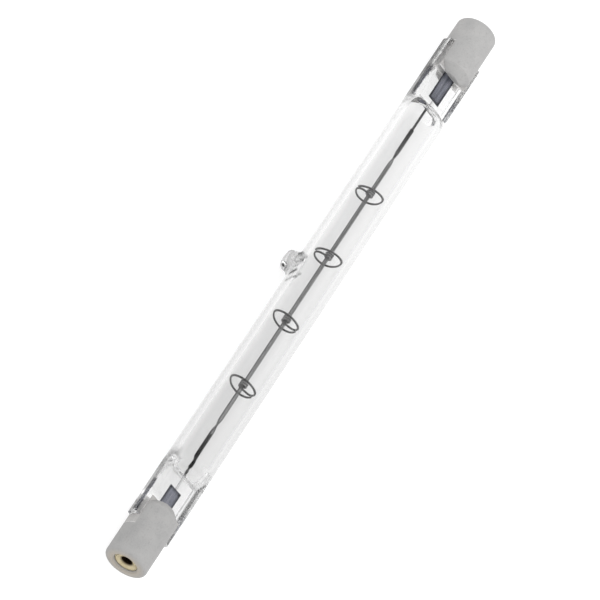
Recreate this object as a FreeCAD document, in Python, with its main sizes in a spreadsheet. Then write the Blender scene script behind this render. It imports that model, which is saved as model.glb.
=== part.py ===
import FreeCAD, Part
import math
import os

import Sketcher
from FreeCAD import Placement, Rotation, Vector

# Linear halogen bulb, lying on its tube and on its exhaust tip.
# X runs along the lamp, Z is up and square to the flat pinches.
# The origin is on the axis at mid-length.
# Each end is drawn on the +X side, and the left end is the same drawing turned half round about Z.

# Driving sizes in millimetres, with angles in degrees and turns as plain numbers
SIZES = (
    # Whole lamp
    ("overall_length", 117.6),
    ("end_length", 20.2),
    ("contact_depth", 1.7),
    # Quartz tube and its gas space, whose ends are pressed flat inside the shoulders
    ("tube_od", 8.0),
    ("tube_wall", 1.2),
    ("cavity_run_in", 1.8),
    ("cavity_end_width", 4.4),
    ("cavity_end_height", 0.5),
    # Pinch: two thick rails with a thinner web between them, behind a drawn-down shoulder
    ("shoulder_length", 2.4),
    ("pinch_length", 12.0),
    ("pinch_shortfall_left", 1.4),
    ("pinch_run_in", 1.4),
    ("pinch_width", 8.4),
    ("pinch_rail_height", 2.5),
    ("pinch_rail_width", 0.8),
    ("pinch_web", 1.9),
    ("pinch_flank", 0.5),
    ("pinch_edge_radius", 0.6),
    # Exhaust tip
    ("tip_place", 2.0),
    ("tip_angle", 26.0),
    ("tip_diameter", 3.9),
    ("tip_edge_radius", 1.1),
    ("tip_root_radius", 0.7),
    ("tip_bore", 1.3),
    ("tip_bore_end", 0.3),
    ("tip_cover", 1.0),
    # Tungsten coil and the wires that carry it
    ("coil_od", 0.72),
    ("coil_wire", 0.12),
    ("coil_gap_left", 1.7),
    ("coil_gap_right", 4.9),
    ("inner_lead_diameter", 0.42),
    ("inner_lead_grip", 6.5),
    ("support_wire", 0.34),
    ("support_wall_gap", 0.3),
    ("support_bend", 1.0),
    ("support_ring_angle", 325.0),
    ("support_grip_turns", 2.5),
    ("support_grip_pitch", 0.4),
    ("support_clearance", 0.03),
    ("support_gap_left", 16.6),
    ("support_gap_right", 18.35),
    # Foil seal
    ("foil_setback_left", 2.5),
    ("foil_setback_right", 1.2),
    ("foil_length", 6.2),
    ("foil_width", 2.6),
    ("foil_thickness", 0.05),
    ("foil_edge", 0.012),
    ("foil_feather_width", 0.7),
    ("weld_length", 1.3),
    ("weld_flat", 0.04),
    ("outer_lead_diameter", 0.6),
    # Ceramic cap
    ("cap_od", 7.2),
    ("cap_length", 11.4),
    ("cap_end_radius", 0.6),
    ("cap_mouth_chamfer", 0.25),
    ("tongue_bevel", 1.4),
    ("tongue_end_height", 2.3),
    ("tongue_tight_corner", 1.2),
    ("tongue_wide_corner", 3.0),
    ("slot_clearance", 0.1),
    ("cement_gap", 0.25),
    ("cement_setback", 0.3),
    # Brass contact
    ("contact_od", 4.0),
    ("contact_clearance", 0.04),
    ("contact_setback", 0.35),
    ("contact_length", 2.6),
    ("contact_mouth", 3.3),
    ("contact_mouth_depth", 0.35),
    ("contact_hole", 1.8),
    ("contact_floor", 0.4),
    ("contact_rim_radius", 0.15),
    ("lead_clearance", 0.15),
)

SIDES = (("left", -1), ("right", 1))
SUPPORTS = 4
# How far each support is turned about the axis, in degrees, from the lowest X to the highest
SUPPORT_TURNS = (243, 236, 62, 74)
# Share of a pressed end's length at which its sections are drawn
PRESS_STATIONS = (0.0, 0.2, 0.4, 0.6, 0.8, 1.0)
# Turns Z into X, X into Y and Y into Z, so that a round bar lies along the lamp
ALONG_X = Rotation(Vector(1, 1, 1), 120)
# Two lengths this close count as the same, in millimetres, and the looser one is for points on a cut edge
SAME = 1e-6
NEARLY_SAME = 1e-4
# Points looked at along an edge to tell where it lies
EDGE_POINTS = 9

doc = FreeCAD.newDocument("LinearHalogenBulb")
sheet = doc.addObject("Spreadsheet::Sheet", "Sizes")


class Size:
    """A number worked out from the sheet: its value now, and the formula that keeps it up to date."""

    def __init__(self, value, formula):
        self.value = value
        self.formula = formula

    def __add__(self, other):
        other = as_size(other)
        return Size(self.value + other.value, f"({self.formula} + {other.formula})")

    def __sub__(self, other):
        other = as_size(other)
        return Size(self.value - other.value, f"({self.formula} - {other.formula})")

    def __mul__(self, other):
        other = as_size(other)
        return Size(self.value * other.value, f"({self.formula} * {other.formula})")

    def __truediv__(self, other):
        other = as_size(other)
        return Size(self.value / other.value, f"({self.formula} / {other.formula})")

    def __neg__(self):
        return Size(-self.value, f"(-{self.formula})")


def as_size(number):
    if isinstance(number, Size):
        return number
    return Size(float(number), f"({float(number)})")


def sine(angle):
    return Size(math.sin(math.radians(angle.value)), f"sin({angle.formula})")


def cosine(angle):
    return Size(math.cos(math.radians(angle.value)), f"cos({angle.formula})")


def fill_sheet():
    for row, (alias, value) in enumerate(SIZES, start=1):
        sheet.set(f"A{row}", alias.replace("_", " "))
        sheet.set(f"B{row}", str(value))
        sheet.setAlias(f"B{row}", alias)
    doc.recompute()


def size(alias):
    return Size(float(sheet.get(alias)), f"Sizes.{alias}")


def bind(thing, setting, amount):
    thing.setExpression(setting, as_size(amount).formula)


def facing(side):
    """The turn that takes a drawing of the +X end to its own end."""
    return Rotation(Vector(0, 0, 1), 0 if side > 0 else 180)


# Drawing helpers

def rod(name, side, start, length, diameter, rise=0):
    """A round bar along the lamp that begins at start and runs outwards on its side."""
    bar = doc.addObject("Part::Cylinder", name)
    bar.Placement = Placement(Vector(), facing(side) * ALONG_X)
    bind(bar, "Radius", diameter / 2)
    bind(bar, "Height", length)
    bind(bar, "Placement.Base.x", start * side)
    bind(bar, "Placement.Base.z", rise)
    return bar


def boolean(kind, name, base, tool):
    result = doc.addObject(kind, name)
    result.Base = base
    result.Tool = tool
    return result


def fused(name, shapes):
    result = doc.addObject("Part::MultiFuse", name)
    result.Shapes = shapes
    return result


def new_body(name, side=1):
    body = doc.addObject("PartDesign::Body", name)
    body.Placement = Placement(Vector(), facing(side))
    return body


def new_sketch(body, plane, name, offset=0):
    sketch = body.newObject("Sketcher::SketchObject", name)
    planes = {feature.Role: feature for feature in body.Origin.OriginFeatures}
    sketch.AttachmentSupport = [(planes[plane], "")]
    sketch.MapMode = "FlatFace"
    bind(sketch, "AttachmentOffset.Base.z", offset)
    return sketch


def fix_corner(sketch, line, corner):
    """Hold the start of a line at a corner given as two sizes from the sketch's origin."""
    for axis, amount, zero_line in (("X", corner[0], -2), ("Y", corner[1], -1)):
        if as_size(amount).value == 0:
            sketch.addConstraint(Sketcher.Constraint("PointOnObject", line, 1, zero_line))
            continue
        rule = Sketcher.Constraint("Distance" + axis, -1, 1, line, 1, amount.value)
        index = sketch.addConstraint(rule)
        sketch.setExpression(f"Constraints[{index}]", amount.formula)


def draw_outline(sketch, corners, rounded=None, radius=None):
    """A closed outline of straight lines, where the line after corner number rounded may be an arc."""
    spots = [Vector(as_size(x).value, as_size(y).value, 0) for x, y in corners]
    first = sketch.GeometryCount
    count = len(corners)
    for number in range(count):
        start = spots[number]
        end = spots[(number + 1) % count]
        if number == rounded:
            middle = quarter_middle(start, end, spots[number - 1])
            sketch.addGeometry(Part.Arc(start, middle, end), False)
        else:
            sketch.addGeometry(Part.LineSegment(start, end), False)
    for number in range(count):
        after = first + (number + 1) % count
        if number == rounded:
            close_arc(sketch, first + number, after, radius)
            continue
        joint = join_points(sketch, first + number, after)
        sketch.addConstraint(Sketcher.Constraint("Coincident", *joint))
    for number in range(count):
        if number != rounded:
            fix_corner(sketch, first + number, corners[number])


def quarter_middle(start, end, before):
    """The middle of the quarter circle that leaves start straight on from before and reaches end."""
    ahead = Vector(start - before).normalize()
    along = ahead * (end - start).dot(ahead)
    across = (end - start) - along
    centre = start + across
    outward = (start - centre) + (end - centre)
    return centre + outward.normalize() * across.Length


def join_points(sketch, line, after):
    """The end of one line and the start of the next, where an arc may run the other way."""
    corner = sketch.getPoint(line, 2)
    mark = 1 if sketch.getPoint(after, 1).distanceToPoint(corner) < SAME else 2
    return line, 2, after, mark


def close_arc(sketch, arc, after, radius):
    corner = sketch.getPoint(after, 1)
    mark = 1 if sketch.getPoint(arc, 1).distanceToPoint(corner) < SAME else 2
    sketch.addConstraint(Sketcher.Constraint("Coincident", arc, mark, after, 1))
    index = sketch.addConstraint(Sketcher.Constraint("Radius", arc, radius.value))
    sketch.setExpression(f"Constraints[{index}]", radius.formula)


def revolved(body, corners):
    """Turn an outline about the lamp's axis, drawn as distance along the lamp and distance from its axis."""
    sketch = new_sketch(body, "XY_Plane", body.Name + "_profile")
    draw_outline(sketch, corners)
    turn = body.newObject("PartDesign::Revolution", body.Name + "_turned")
    turn.Profile = sketch
    turn.ReferenceAxis = (sketch, ["H_Axis"])
    turn.Angle = 360
    doc.recompute()
    return turn


def extruded(body, sketch, length):
    pad = body.newObject("PartDesign::Pad", sketch.Name + "_pad")
    pad.Profile = sketch
    bind(pad, "Length", length)
    doc.recompute()
    return pad


def cut_through(body, sketch):
    """Cut a sketch right through the body, both ways, and make sure that it took something away."""
    before = body.Shape.Volume
    pocket = body.newObject("PartDesign::Pocket", sketch.Name + "_cut")
    pocket.Profile = sketch
    pocket.SideType = "Symmetric"
    pocket.Type = "Length"
    bind(pocket, "Length", size("overall_length"))
    doc.recompute()
    if body.Shape.Volume >= before:
        raise RuntimeError(f"{sketch.Name} cut nothing")


def rounded_edges(body, feature, radius, wanted):
    """Round those edges of the body's last feature that the test picks out."""
    names = [f"Edge{number}" for number, edge in enumerate(feature.Shape.Edges, start=1) if wanted(edge)]
    fillet = body.newObject("PartDesign::Fillet", feature.Name + "_rounded")
    fillet.Base = (feature, names)
    bind(fillet, "Radius", radius)
    doc.recompute()


def ring_at(place, radius):
    """A test for the whole circle of this radius at this place along the lamp, as drawn."""
    def wanted(edge):
        middle = edge.BoundBox.Center
        wide = edge.BoundBox.YLength / 2
        flat = edge.BoundBox.XLength < SAME
        return flat and abs(middle.x - place.value) < SAME and abs(wide - radius.value) < SAME
    return wanted


# Places along the lamp, measured from the middle

fill_sheet()
END_FACE = size("overall_length") / 2
TUBE_END = END_FACE - size("end_length")
TUBE_LENGTH = TUBE_END * 2
CAVITY_END = TUBE_END + size("cavity_run_in")
# The coil stops nearer to the end of the gas space on the left than on the right
COIL_END = {-1: CAVITY_END - size("coil_gap_left"), 1: CAVITY_END - size("coil_gap_right")}
COIL_LENGTH = COIL_END[-1] + COIL_END[1]
BORE_RADIUS = size("tube_od") / 2 - size("tube_wall")
FIRST_SUPPORT = size("support_gap_left") - TUBE_END
LAST_SUPPORT = TUBE_END - size("support_gap_right")
PINCH_START = TUBE_END + size("shoulder_length")
# The left pinch stops short of the right one, and both caps are slotted for the longer of the two
PINCH_LENGTH = {-1: size("pinch_length") - size("pinch_shortfall_left"), 1: size("pinch_length")}
SLOT_END = PINCH_START + size("pinch_length") + size("cement_gap")
CAP_INNER_END = END_FACE - size("cap_length")
SLOT_HEIGHT = size("pinch_rail_height") + size("slot_clearance") * 2
CONTACT_FRONT = END_FACE - size("contact_setback")
CONTACT_BACK = CONTACT_FRONT - size("contact_length")
CONTACT_FLOOR = END_FACE - size("contact_depth")
LEAD_STOP = CONTACT_FLOOR - size("contact_floor")
FOIL_START = {side: PINCH_START + size(f"foil_setback_{side_name}") for side_name, side in SIDES}
FOIL_END = {side: start + size("foil_length") for side, start in FOIL_START.items()}
# The foil lies on the wires, and their tops are flattened under it
FOIL_BOTTOM = size("inner_lead_diameter") / 2 - size("weld_flat")
OUTER_LEAD_RISE = FOIL_BOTTOM + size("weld_flat") - size("outer_lead_diameter") / 2


# Foil seal and its wires

def molybdenum_foil(name, side):
    """Thin foil, feathered towards both long edges so that the quartz seals on it."""
    body = new_body(name, side)
    half = size("foil_width") / 2
    flat = half - size("foil_feather_width")
    top = FOIL_BOTTOM + size("foil_thickness")
    edge_bottom = FOIL_BOTTOM + (size("foil_thickness") - size("foil_edge")) / 2
    edge_top = edge_bottom + size("foil_edge")
    sketch = new_sketch(body, "YZ_Plane", name + "_section", FOIL_START[side])
    draw_outline(sketch, (
        (half, edge_bottom), (half, edge_top), (flat, top), (-flat, top),
        (-half, edge_top), (-half, edge_bottom), (-flat, FOIL_BOTTOM), (flat, FOIL_BOTTOM),
    ))
    extruded(body, sketch, size("foil_length"))
    return body


def inner_lead(name, side, foil):
    """Straight wire from inside the coil's end to its weld on the foil."""
    start = COIL_END[side] - size("inner_lead_grip")
    stop = FOIL_START[side] + size("weld_length")
    wire = rod(name + "_wire", side, start, stop - start, size("inner_lead_diameter"))
    return boolean("Part::Cut", name, wire, foil)


def outer_lead(name, side, foil):
    """Stouter wire from its weld on the foil to the back of the contact."""
    start = FOIL_END[side] - size("weld_length")
    wire = rod(name + "_wire", side, start, LEAD_STOP - start, size("outer_lead_diameter"), OUTER_LEAD_RISE)
    return boolean("Part::Cut", name, wire, foil)


# Coil and supports

def filament_coil():
    """The close-wound coil as a sleeve of its outer and inner diameter."""
    start = -COIL_END[-1]
    outside = rod("coil_outside", 1, start, COIL_LENGTH, size("coil_od"))
    inside = rod("coil_inside", 1, start, COIL_LENGTH, size("coil_od") - size("coil_wire") * 2)
    return boolean("Part::Cut", "filament_coil", outside, inside)


def support_path(grip_radius, ring_radius, bend, pitch, turns, sweep):
    """Centre line of a support: turns round the coil, a straight leg, a bend and an open ring.

    The leg leaves the turns along their slope, so the ring leans by that slope and the line has no kink.
    """
    grip = Part.makeHelix(pitch, pitch * turns, grip_radius)
    grip.Placement = Placement(Vector(), ALONG_X)
    reach = math.sqrt((ring_radius - bend) ** 2 - (grip_radius - bend) ** 2)
    centre = Vector(0, grip_radius - bend, -reach)
    heading = math.atan2(centre.z, centre.y)

    def on_circle(middle, radius, angle):
        return middle + Vector(0, radius * math.cos(angle), radius * math.sin(angle))

    leg_start = on_circle(Vector(), grip_radius, 0)
    bend_start = on_circle(centre, bend, 0)
    ring_start = on_circle(Vector(), ring_radius, heading)
    ring_angle = math.radians(sweep)
    bend_arc = Part.Arc(bend_start, on_circle(centre, bend, heading / 2), ring_start)
    ring_arc = Part.Arc(ring_start, on_circle(Vector(), ring_radius, heading - ring_angle / 2),
                        on_circle(Vector(), ring_radius, heading - ring_angle))
    leg = Part.LineSegment(leg_start, bend_start)
    flat = Part.Wire([leg.toShape(), bend_arc.toShape(), ring_arc.toShape()])
    lean = math.degrees(math.atan(pitch / (2 * math.pi * grip_radius)))
    flat.Placement = Placement(Vector(), Rotation(Vector(0, 1, 0), lean))
    return Part.Wire(Part.__sortEdges__(grip.Edges + flat.Edges))


def filament_support(number):
    wire = size("support_wire")
    grip_radius = size("coil_od") / 2 + size("support_clearance") + wire / 2
    ring_radius = BORE_RADIUS - size("support_wall_gap") - wire / 2
    place = FIRST_SUPPORT + (LAST_SUPPORT - FIRST_SUPPORT) * (number / (SUPPORTS - 1))
    name = f"filament_support_{number + 1}"
    path = doc.addObject("Part::Feature", name + "_path")
    path.Shape = support_path(grip_radius.value, ring_radius.value, size("support_bend").value,
                              size("support_grip_pitch").value, size("support_grip_turns").value,
                              size("support_ring_angle").value)
    turn = Rotation(Vector(1, 0, 0), SUPPORT_TURNS[number])
    path.Placement = Placement(Vector(place.value, 0, 0), turn)
    bind(path, "Placement.Base.x", place)
    doc.recompute()
    section = doc.addObject("Part::Circle", name + "_section")
    first = path.Shape.OrderedEdges[0]
    start = first.FirstParameter if first.Orientation == "Forward" else first.LastParameter
    section.Placement = Placement(first.valueAt(start), Rotation(Vector(0, 0, 1), first.tangentAt(start)))
    bind(section, "Radius", wire / 2)
    support = doc.addObject("Part::Sweep", name)
    support.Sections = [section]
    support.Spine = (path, [f"Edge{edge}" for edge in range(1, len(path.Shape.Edges) + 1)])
    support.Solid = True
    support.Frenet = False
    return support


# Quartz envelope

def pressed_end(name, side, length, radius, width, height):
    """Loft from a round at the tube's end out to a flat oval, easing in and out."""
    sections = []
    for station in PRESS_STATIONS:
        ease = station * station * (3 - 2 * station)
        section = doc.addObject("Part::Ellipse", f"{name}_section")
        section.Placement = Placement(Vector(), facing(side) * ALONG_X)
        bind(section, "MajorRadius", radius * (1 - ease) + width / 2 * ease)
        bind(section, "MinorRadius", radius * (1 - ease) + height / 2 * ease)
        bind(section, "Placement.Base.x", (TUBE_END + length * station) * side)
        sections.append(section)
    loft = doc.addObject("Part::Loft", name)
    loft.Sections = sections
    loft.Solid = True
    loft.Ruled = False
    return loft


def pinch(name, side):
    """Flat seal with a rail along each edge, run a little way into the shoulder."""
    body = new_body(name, side)
    edge = size("pinch_width") / 2
    rail = edge - size("pinch_rail_width")
    web = rail - size("pinch_flank")
    top = size("pinch_rail_height") / 2
    low = size("pinch_web") / 2
    sketch = new_sketch(body, "YZ_Plane", name + "_section", PINCH_START - size("pinch_run_in"))
    draw_outline(sketch, (
        (edge, -top), (edge, top), (rail, top), (web, low), (-web, low), (-rail, top),
        (-edge, top), (-edge, -top), (-rail, -top), (-web, -low), (web, -low), (rail, -top),
    ))
    pad = extruded(body, sketch, PINCH_LENGTH[side] + size("pinch_run_in"))

    def outer_edge(line):
        box = line.BoundBox
        return box.XLength > SAME and abs(abs(box.Center.y) - edge.value) < SAME

    rounded_edges(body, pad, size("pinch_edge_radius"), outer_edge)
    return body


def tip_reach():
    """Distance of the tip's end from the axis: its lower edge comes level with the tube's underside."""
    edge = size("tip_edge_radius")
    flat = size("tip_diameter") / 2 - edge
    fall = size("tube_od") / 2 - edge - flat * cosine(size("tip_angle"))
    return edge + fall / sine(size("tip_angle"))


def pointing_at_tip(thing):
    """Point the thing's own Z from the axis through the tip."""
    angle = size("tip_angle") + 90
    thing.Placement = Placement(Vector(), Rotation(Vector(1, 0, 0), -angle.value))
    bind(thing, "Placement.Rotation.Angle", -angle)
    bind(thing, "Placement.Base.x", size("tip_place"))


def exhaust_tip():
    """Stub of the exhaust tube, melted shut with a rounded end."""
    stub = doc.addObject("Part::Cylinder", "exhaust_stub")
    bind(stub, "Radius", size("tip_diameter") / 2)
    bind(stub, "Height", tip_reach())
    pointing_at_tip(stub)
    doc.recompute()
    tip = doc.addObject("Part::Fillet", "exhaust_tip")
    tip.Base = stub
    radius = size("tip_edge_radius").value
    far = tip_reach().value
    direction = stub.Placement.Rotation.multVec(Vector(0, 0, 1))
    tip.Edges = [
        (number, radius, radius) for number, edge in enumerate(stub.Shape.Edges, start=1)
        if abs(edge.CenterOfGravity.dot(direction) - far) < SAME
    ]
    return tip


def exhaust_bore():
    """What is left of the exhaust hole, closing to a small point inside the tip."""
    bore = doc.addObject("Part::Cone", "exhaust_bore")
    bind(bore, "Radius1", size("tip_bore") / 2)
    bind(bore, "Radius2", size("tip_bore_end") / 2)
    bind(bore, "Height", tip_reach() - size("tip_cover"))
    pointing_at_tip(bore)
    return bore


def shoulder(side_name, side):
    """The tube's outside, drawn down to the flat pinch."""
    return pressed_end(f"shoulder_{side_name}", side, size("shoulder_length"), size("tube_od") / 2,
                       size("pinch_width"), size("pinch_web"))


def gas_end(side_name, side):
    """The gas space's end, pressed flat inside the shoulder."""
    return pressed_end(f"gas_end_{side_name}", side, size("cavity_run_in"), BORE_RADIUS,
                       size("cavity_end_width"), size("cavity_end_height"))


def quartz_envelope(pinches, sealed):
    """Tube, shoulders, pinches and tip as one piece, hollow, and closed round what is sealed in it."""
    tube = rod("quartz_tube", 1, -TUBE_END, TUBE_LENGTH, size("tube_od"))
    stubbed = fused("tube_with_tip", [tube, exhaust_tip()])
    doc.recompute()
    blended = doc.addObject("Part::Fillet", "tube_and_tip")
    blended.Base = stubbed
    radius = size("tip_root_radius").value
    outside = size("tube_od").value / 2
    blended.Edges = [
        (number, radius, radius) for number, edge in enumerate(stubbed.Shape.Edges, start=1)
        if is_tip_root(edge, outside)
    ]
    shoulders = [shoulder(side_name, side) for side_name, side in SIDES]
    blank = fused("quartz_blank", [blended] + shoulders + pinches)
    gas_bore = rod("gas_bore", 1, -TUBE_END, TUBE_LENGTH, BORE_RADIUS * 2)
    gas_ends = [gas_end(side_name, side) for side_name, side in SIDES]
    hollow = fused("quartz_hollow", [gas_bore, exhaust_bore()] + gas_ends + sealed)
    return boolean("Part::Cut", "quartz_envelope", blank, hollow)


def is_tip_root(edge, outside):
    """The edge where the tip leaves the tube: it lies all on the tube, away from the tube's two ends."""
    points = edge.discretize(EDGE_POINTS)
    on_tube = all(abs(math.hypot(point.y, point.z) - outside) < NEARLY_SAME for point in points)
    reach = max(point.x for point in points) - min(point.x for point in points)
    inside = max(abs(point.x) for point in points) < TUBE_END.value - NEARLY_SAME
    return on_tube and inside and reach > NEARLY_SAME


# End caps

def ceramic_cap(name, side):
    """Turned and slotted ceramic: a short barrel with two tongues that hold the pinch between them."""
    body = new_body(name, side)
    outside = size("cap_od") / 2
    pocket = size("contact_od") / 2 + size("contact_clearance")
    chamfer = size("cap_mouth_chamfer")
    bore = size("outer_lead_diameter") / 2 + size("lead_clearance")
    turned = revolved(body, (
        (CAP_INNER_END, bore), (CAP_INNER_END, size("tongue_end_height")),
        (CAP_INNER_END + size("tongue_bevel"), outside), (END_FACE, outside),
        (END_FACE, pocket + chamfer), (END_FACE - chamfer, pocket),
        (CONTACT_BACK, pocket), (CONTACT_BACK, bore),
    ))
    rounded_edges(body, turned, size("cap_end_radius"), ring_at(END_FACE, outside))
    slot = new_sketch(body, "XZ_Plane", name + "_slot")
    beyond = CAP_INNER_END - size("cap_od")
    half = SLOT_HEIGHT / 2
    draw_outline(slot, ((beyond, -half), (SLOT_END, -half), (SLOT_END, half), (beyond, half)))
    cut_through(body, slot)
    corners = new_sketch(body, "XY_Plane", name + "_corners")
    for hand, corner in ((-1, "tongue_wide_corner"), (1, "tongue_tight_corner")):
        radius = size(corner)
        draw_outline(corners, (
            (beyond, (outside - radius) * hand), (CAP_INNER_END, (outside - radius) * hand),
            (CAP_INNER_END + radius, outside * hand), (CAP_INNER_END + radius, outside * hand * 2),
            (beyond, outside * hand * 2),
        ), rounded=1, radius=radius)
    cut_through(body, corners)
    return body


def contact(name, side):
    """Brass cup just inside the cap's mouth, with a flared blind hole and a hole for the lead."""
    body = new_body(name, side)
    outside = size("contact_od") / 2
    hole = size("contact_hole") / 2
    lead = size("outer_lead_diameter") / 2 + size("lead_clearance")
    turned = revolved(body, (
        (CONTACT_BACK, lead), (CONTACT_BACK, outside), (CONTACT_FRONT, outside),
        (CONTACT_FRONT, size("contact_mouth") / 2), (CONTACT_FRONT - size("contact_mouth_depth"), hole),
        (CONTACT_FLOOR, hole), (CONTACT_FLOOR, 0), (LEAD_STOP, 0), (LEAD_STOP, lead),
    ))
    rounded_edges(body, turned, size("contact_rim_radius"), ring_at(CONTACT_FRONT, outside))
    return body


def cap_cement(name, side, seal, lead):
    """Cement that fills the slot between the cap, the pinch and the lead."""
    start = CAP_INNER_END + size("cement_setback")
    slab = doc.addObject("Part::Box", name + "_slab")
    slab.Placement = Placement(Vector(), facing(side))
    bind(slab, "Length", SLOT_END - start)
    bind(slab, "Width", size("cap_od"))
    bind(slab, "Height", SLOT_HEIGHT)
    bind(slab, "Placement.Base.x", start * side)
    bind(slab, "Placement.Base.y", -size("cap_od") / 2 * side)
    bind(slab, "Placement.Base.z", -SLOT_HEIGHT / 2)
    barrel = rod(name + "_barrel", side, start, SLOT_END - start, size("cap_od"))
    filling = boolean("Part::Common", name + "_filling", slab, barrel)
    round_pinch = boolean("Part::Cut", name + "_round_pinch", filling, seal)
    return boolean("Part::Cut", name, round_pinch, lead)


# Assembly

def build():
    pieces = [filament_coil()]
    sealed = []
    pinches = {}
    outer_leads = {}
    for side_name, side in SIDES:
        pinches[side] = pinch(f"pinch_{side_name}", side)
        foil = molybdenum_foil(f"molybdenum_foil_{side_name}", side)
        inner = inner_lead(f"inner_lead_{side_name}", side, foil)
        outer = outer_lead(f"outer_lead_{side_name}", side, foil)
        outer_leads[side] = outer
        sealed += [foil, inner, outer]
    pieces += sealed + [quartz_envelope(list(pinches.values()), sealed)]
    for number in range(SUPPORTS):
        pieces.append(filament_support(number))
    for side_name, side in SIDES:
        pieces.append(ceramic_cap(f"ceramic_cap_{side_name}", side))
        pieces.append(contact(f"contact_{side_name}", side))
        pieces.append(cap_cement(f"cap_cement_{side_name}", side, pinches[side], outer_leads[side]))
    doc.recompute()
    return pieces


def check(pieces):
    for thing in doc.Objects:
        if {"Invalid", "Error"} & set(thing.State):
            raise RuntimeError(f"{thing.Name} failed: {thing.State}")
    for piece in pieces:
        if piece.Shape.isNull() or not piece.Shape.isValid():
            raise RuntimeError(f"{piece.Name} has no valid shape")
        if len(piece.Shape.Solids) != 1:
            raise RuntimeError(f"{piece.Name} is {len(piece.Shape.Solids)} solids")


def write(pieces):
    os.makedirs("parts", exist_ok=True)
    for piece in pieces:
        piece.Label = piece.Name
        piece.Shape.exportStep(os.path.join("parts", piece.Label + ".step"))


sub_parts = build()
check(sub_parts)
write(sub_parts)
for sub_part in sub_parts:
    print(f"{sub_part.Label}: {sub_part.Shape.Volume:.2f} cubic mm")
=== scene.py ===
import math

import bmesh
import bpy
from mathutils import Matrix, Vector


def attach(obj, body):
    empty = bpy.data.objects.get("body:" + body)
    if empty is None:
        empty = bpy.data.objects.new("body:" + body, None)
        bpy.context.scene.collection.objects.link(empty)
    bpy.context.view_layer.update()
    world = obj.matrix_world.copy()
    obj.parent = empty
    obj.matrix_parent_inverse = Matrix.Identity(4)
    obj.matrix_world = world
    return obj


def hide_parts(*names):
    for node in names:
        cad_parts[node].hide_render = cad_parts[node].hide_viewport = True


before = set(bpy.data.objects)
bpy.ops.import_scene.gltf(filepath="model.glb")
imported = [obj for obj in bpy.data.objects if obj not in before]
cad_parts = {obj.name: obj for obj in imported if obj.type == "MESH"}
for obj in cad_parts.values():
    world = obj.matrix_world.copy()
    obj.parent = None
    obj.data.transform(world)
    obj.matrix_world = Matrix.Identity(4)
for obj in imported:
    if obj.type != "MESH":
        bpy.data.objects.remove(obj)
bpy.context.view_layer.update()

# Looks of the linear halogen bulb, in the frame of its solids: X along the lamp and Z up.
# Sizes here are in millimetres, and MM takes them to the scene's metres.
MM = 0.001
QUARTER_TURN = math.pi / 2
SIDES = (("left", -1), ("right", 1))
SUPPORTS = 4

# Places and sizes that the solids fix
END_FACE = 58.8
CAP_INNER_END = 47.4
TUBE_END = 38.6
SHOULDER_LENGTH = 2.4
PINCH_END = {-1: 51.6, 1: 53.0}
TUBE_RADIUS = 4.0
BORE_RADIUS = 2.8
CAVITY_END = 40.4
CAVITY_END_WIDTH = 4.4
CAVITY_END_HEIGHT = 0.5
PINCH_EDGE = 4.2
RAIL_TOP = 1.25
RAIL_ROUNDING = 0.6
RAIL_INNER_EDGE = 3.4
WEB_TOP = 0.95
FOIL_START = {-1: 43.5, 1: 42.2}
TIP_PLACE = 2.0
TIP_ANGLE = 26.0
CAP_RADIUS = 3.6
CAP_END_ROUNDING = 0.6
CONTACT_FRONT = 58.45
CONTACT_BACK = 55.85
CONTACT_FLOOR = 57.1
CONTACT_RADIUS = 2.0
CONTACT_MOUTH_RADIUS = 1.65
CONTACT_MOUTH_DEPTH = 0.35
CONTACT_HOLE_RADIUS = 0.9
POCKET_RADIUS = 2.04
POCKET_CHAMFER = 0.25
TONGUE_BEVEL = 1.4
TONGUE_END_HEIGHT = 2.3
TONGUE_TIGHT_CORNER = 1.2
TONGUE_WIDE_CORNER = 3.0
SLOT_END = 53.25
SLOT_HALF_HEIGHT = 1.35
COIL_START = -38.7
COIL_STOP = 35.5
COIL_RADIUS = 0.36
COIL_WIRE = 0.12
FLOOR_HEIGHT = -4.0

# The pinches are drawn this much lower and shorter than their solid, so that they share no face with cement
SEAM = 0.03
# The slope from a rail down to the web ends here, a little nearer the middle than in the solid
WEB_EDGE = 2.85

# A spot this close to a face, a rim or the tube's skin counts as on it
NEAR_FACE = 0.01
NEAR_RIM = 0.05
NEAR_SKIN = 0.03
# A face is square to the lamp from this share of its normal, and an edge up to this run along the lamp
SQUARE_NORMAL = 0.9
SQUARE_RUN = 0.001
# Vertices closer than this are merged
MERGE_DISTANCE = 0.0005


# Modelling helpers

def put_down():
    """Leave edit mode with nothing selected."""
    if bpy.context.mode != "OBJECT":
        bpy.ops.object.mode_set(mode="OBJECT")
    bpy.ops.object.select_all(action="DESELECT")


def take(piece):
    """Select this piece alone and make it the active one."""
    put_down()
    piece.select_set(True)
    bpy.context.view_layer.objects.active = piece


def name_it(name):
    """Name the piece that was just added."""
    piece = bpy.context.object
    piece.name = name
    piece.data.name = name
    return piece


def settle(piece):
    """Put a piece's turn, scale and place into its mesh."""
    take(piece)
    bpy.ops.object.transform_apply(location=True, rotation=True, scale=True)


def pick_all(piece):
    """Enter edit mode with everything selected."""
    take(piece)
    bpy.ops.object.mode_set(mode="EDIT")
    bpy.ops.mesh.select_all(action="SELECT")


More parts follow.
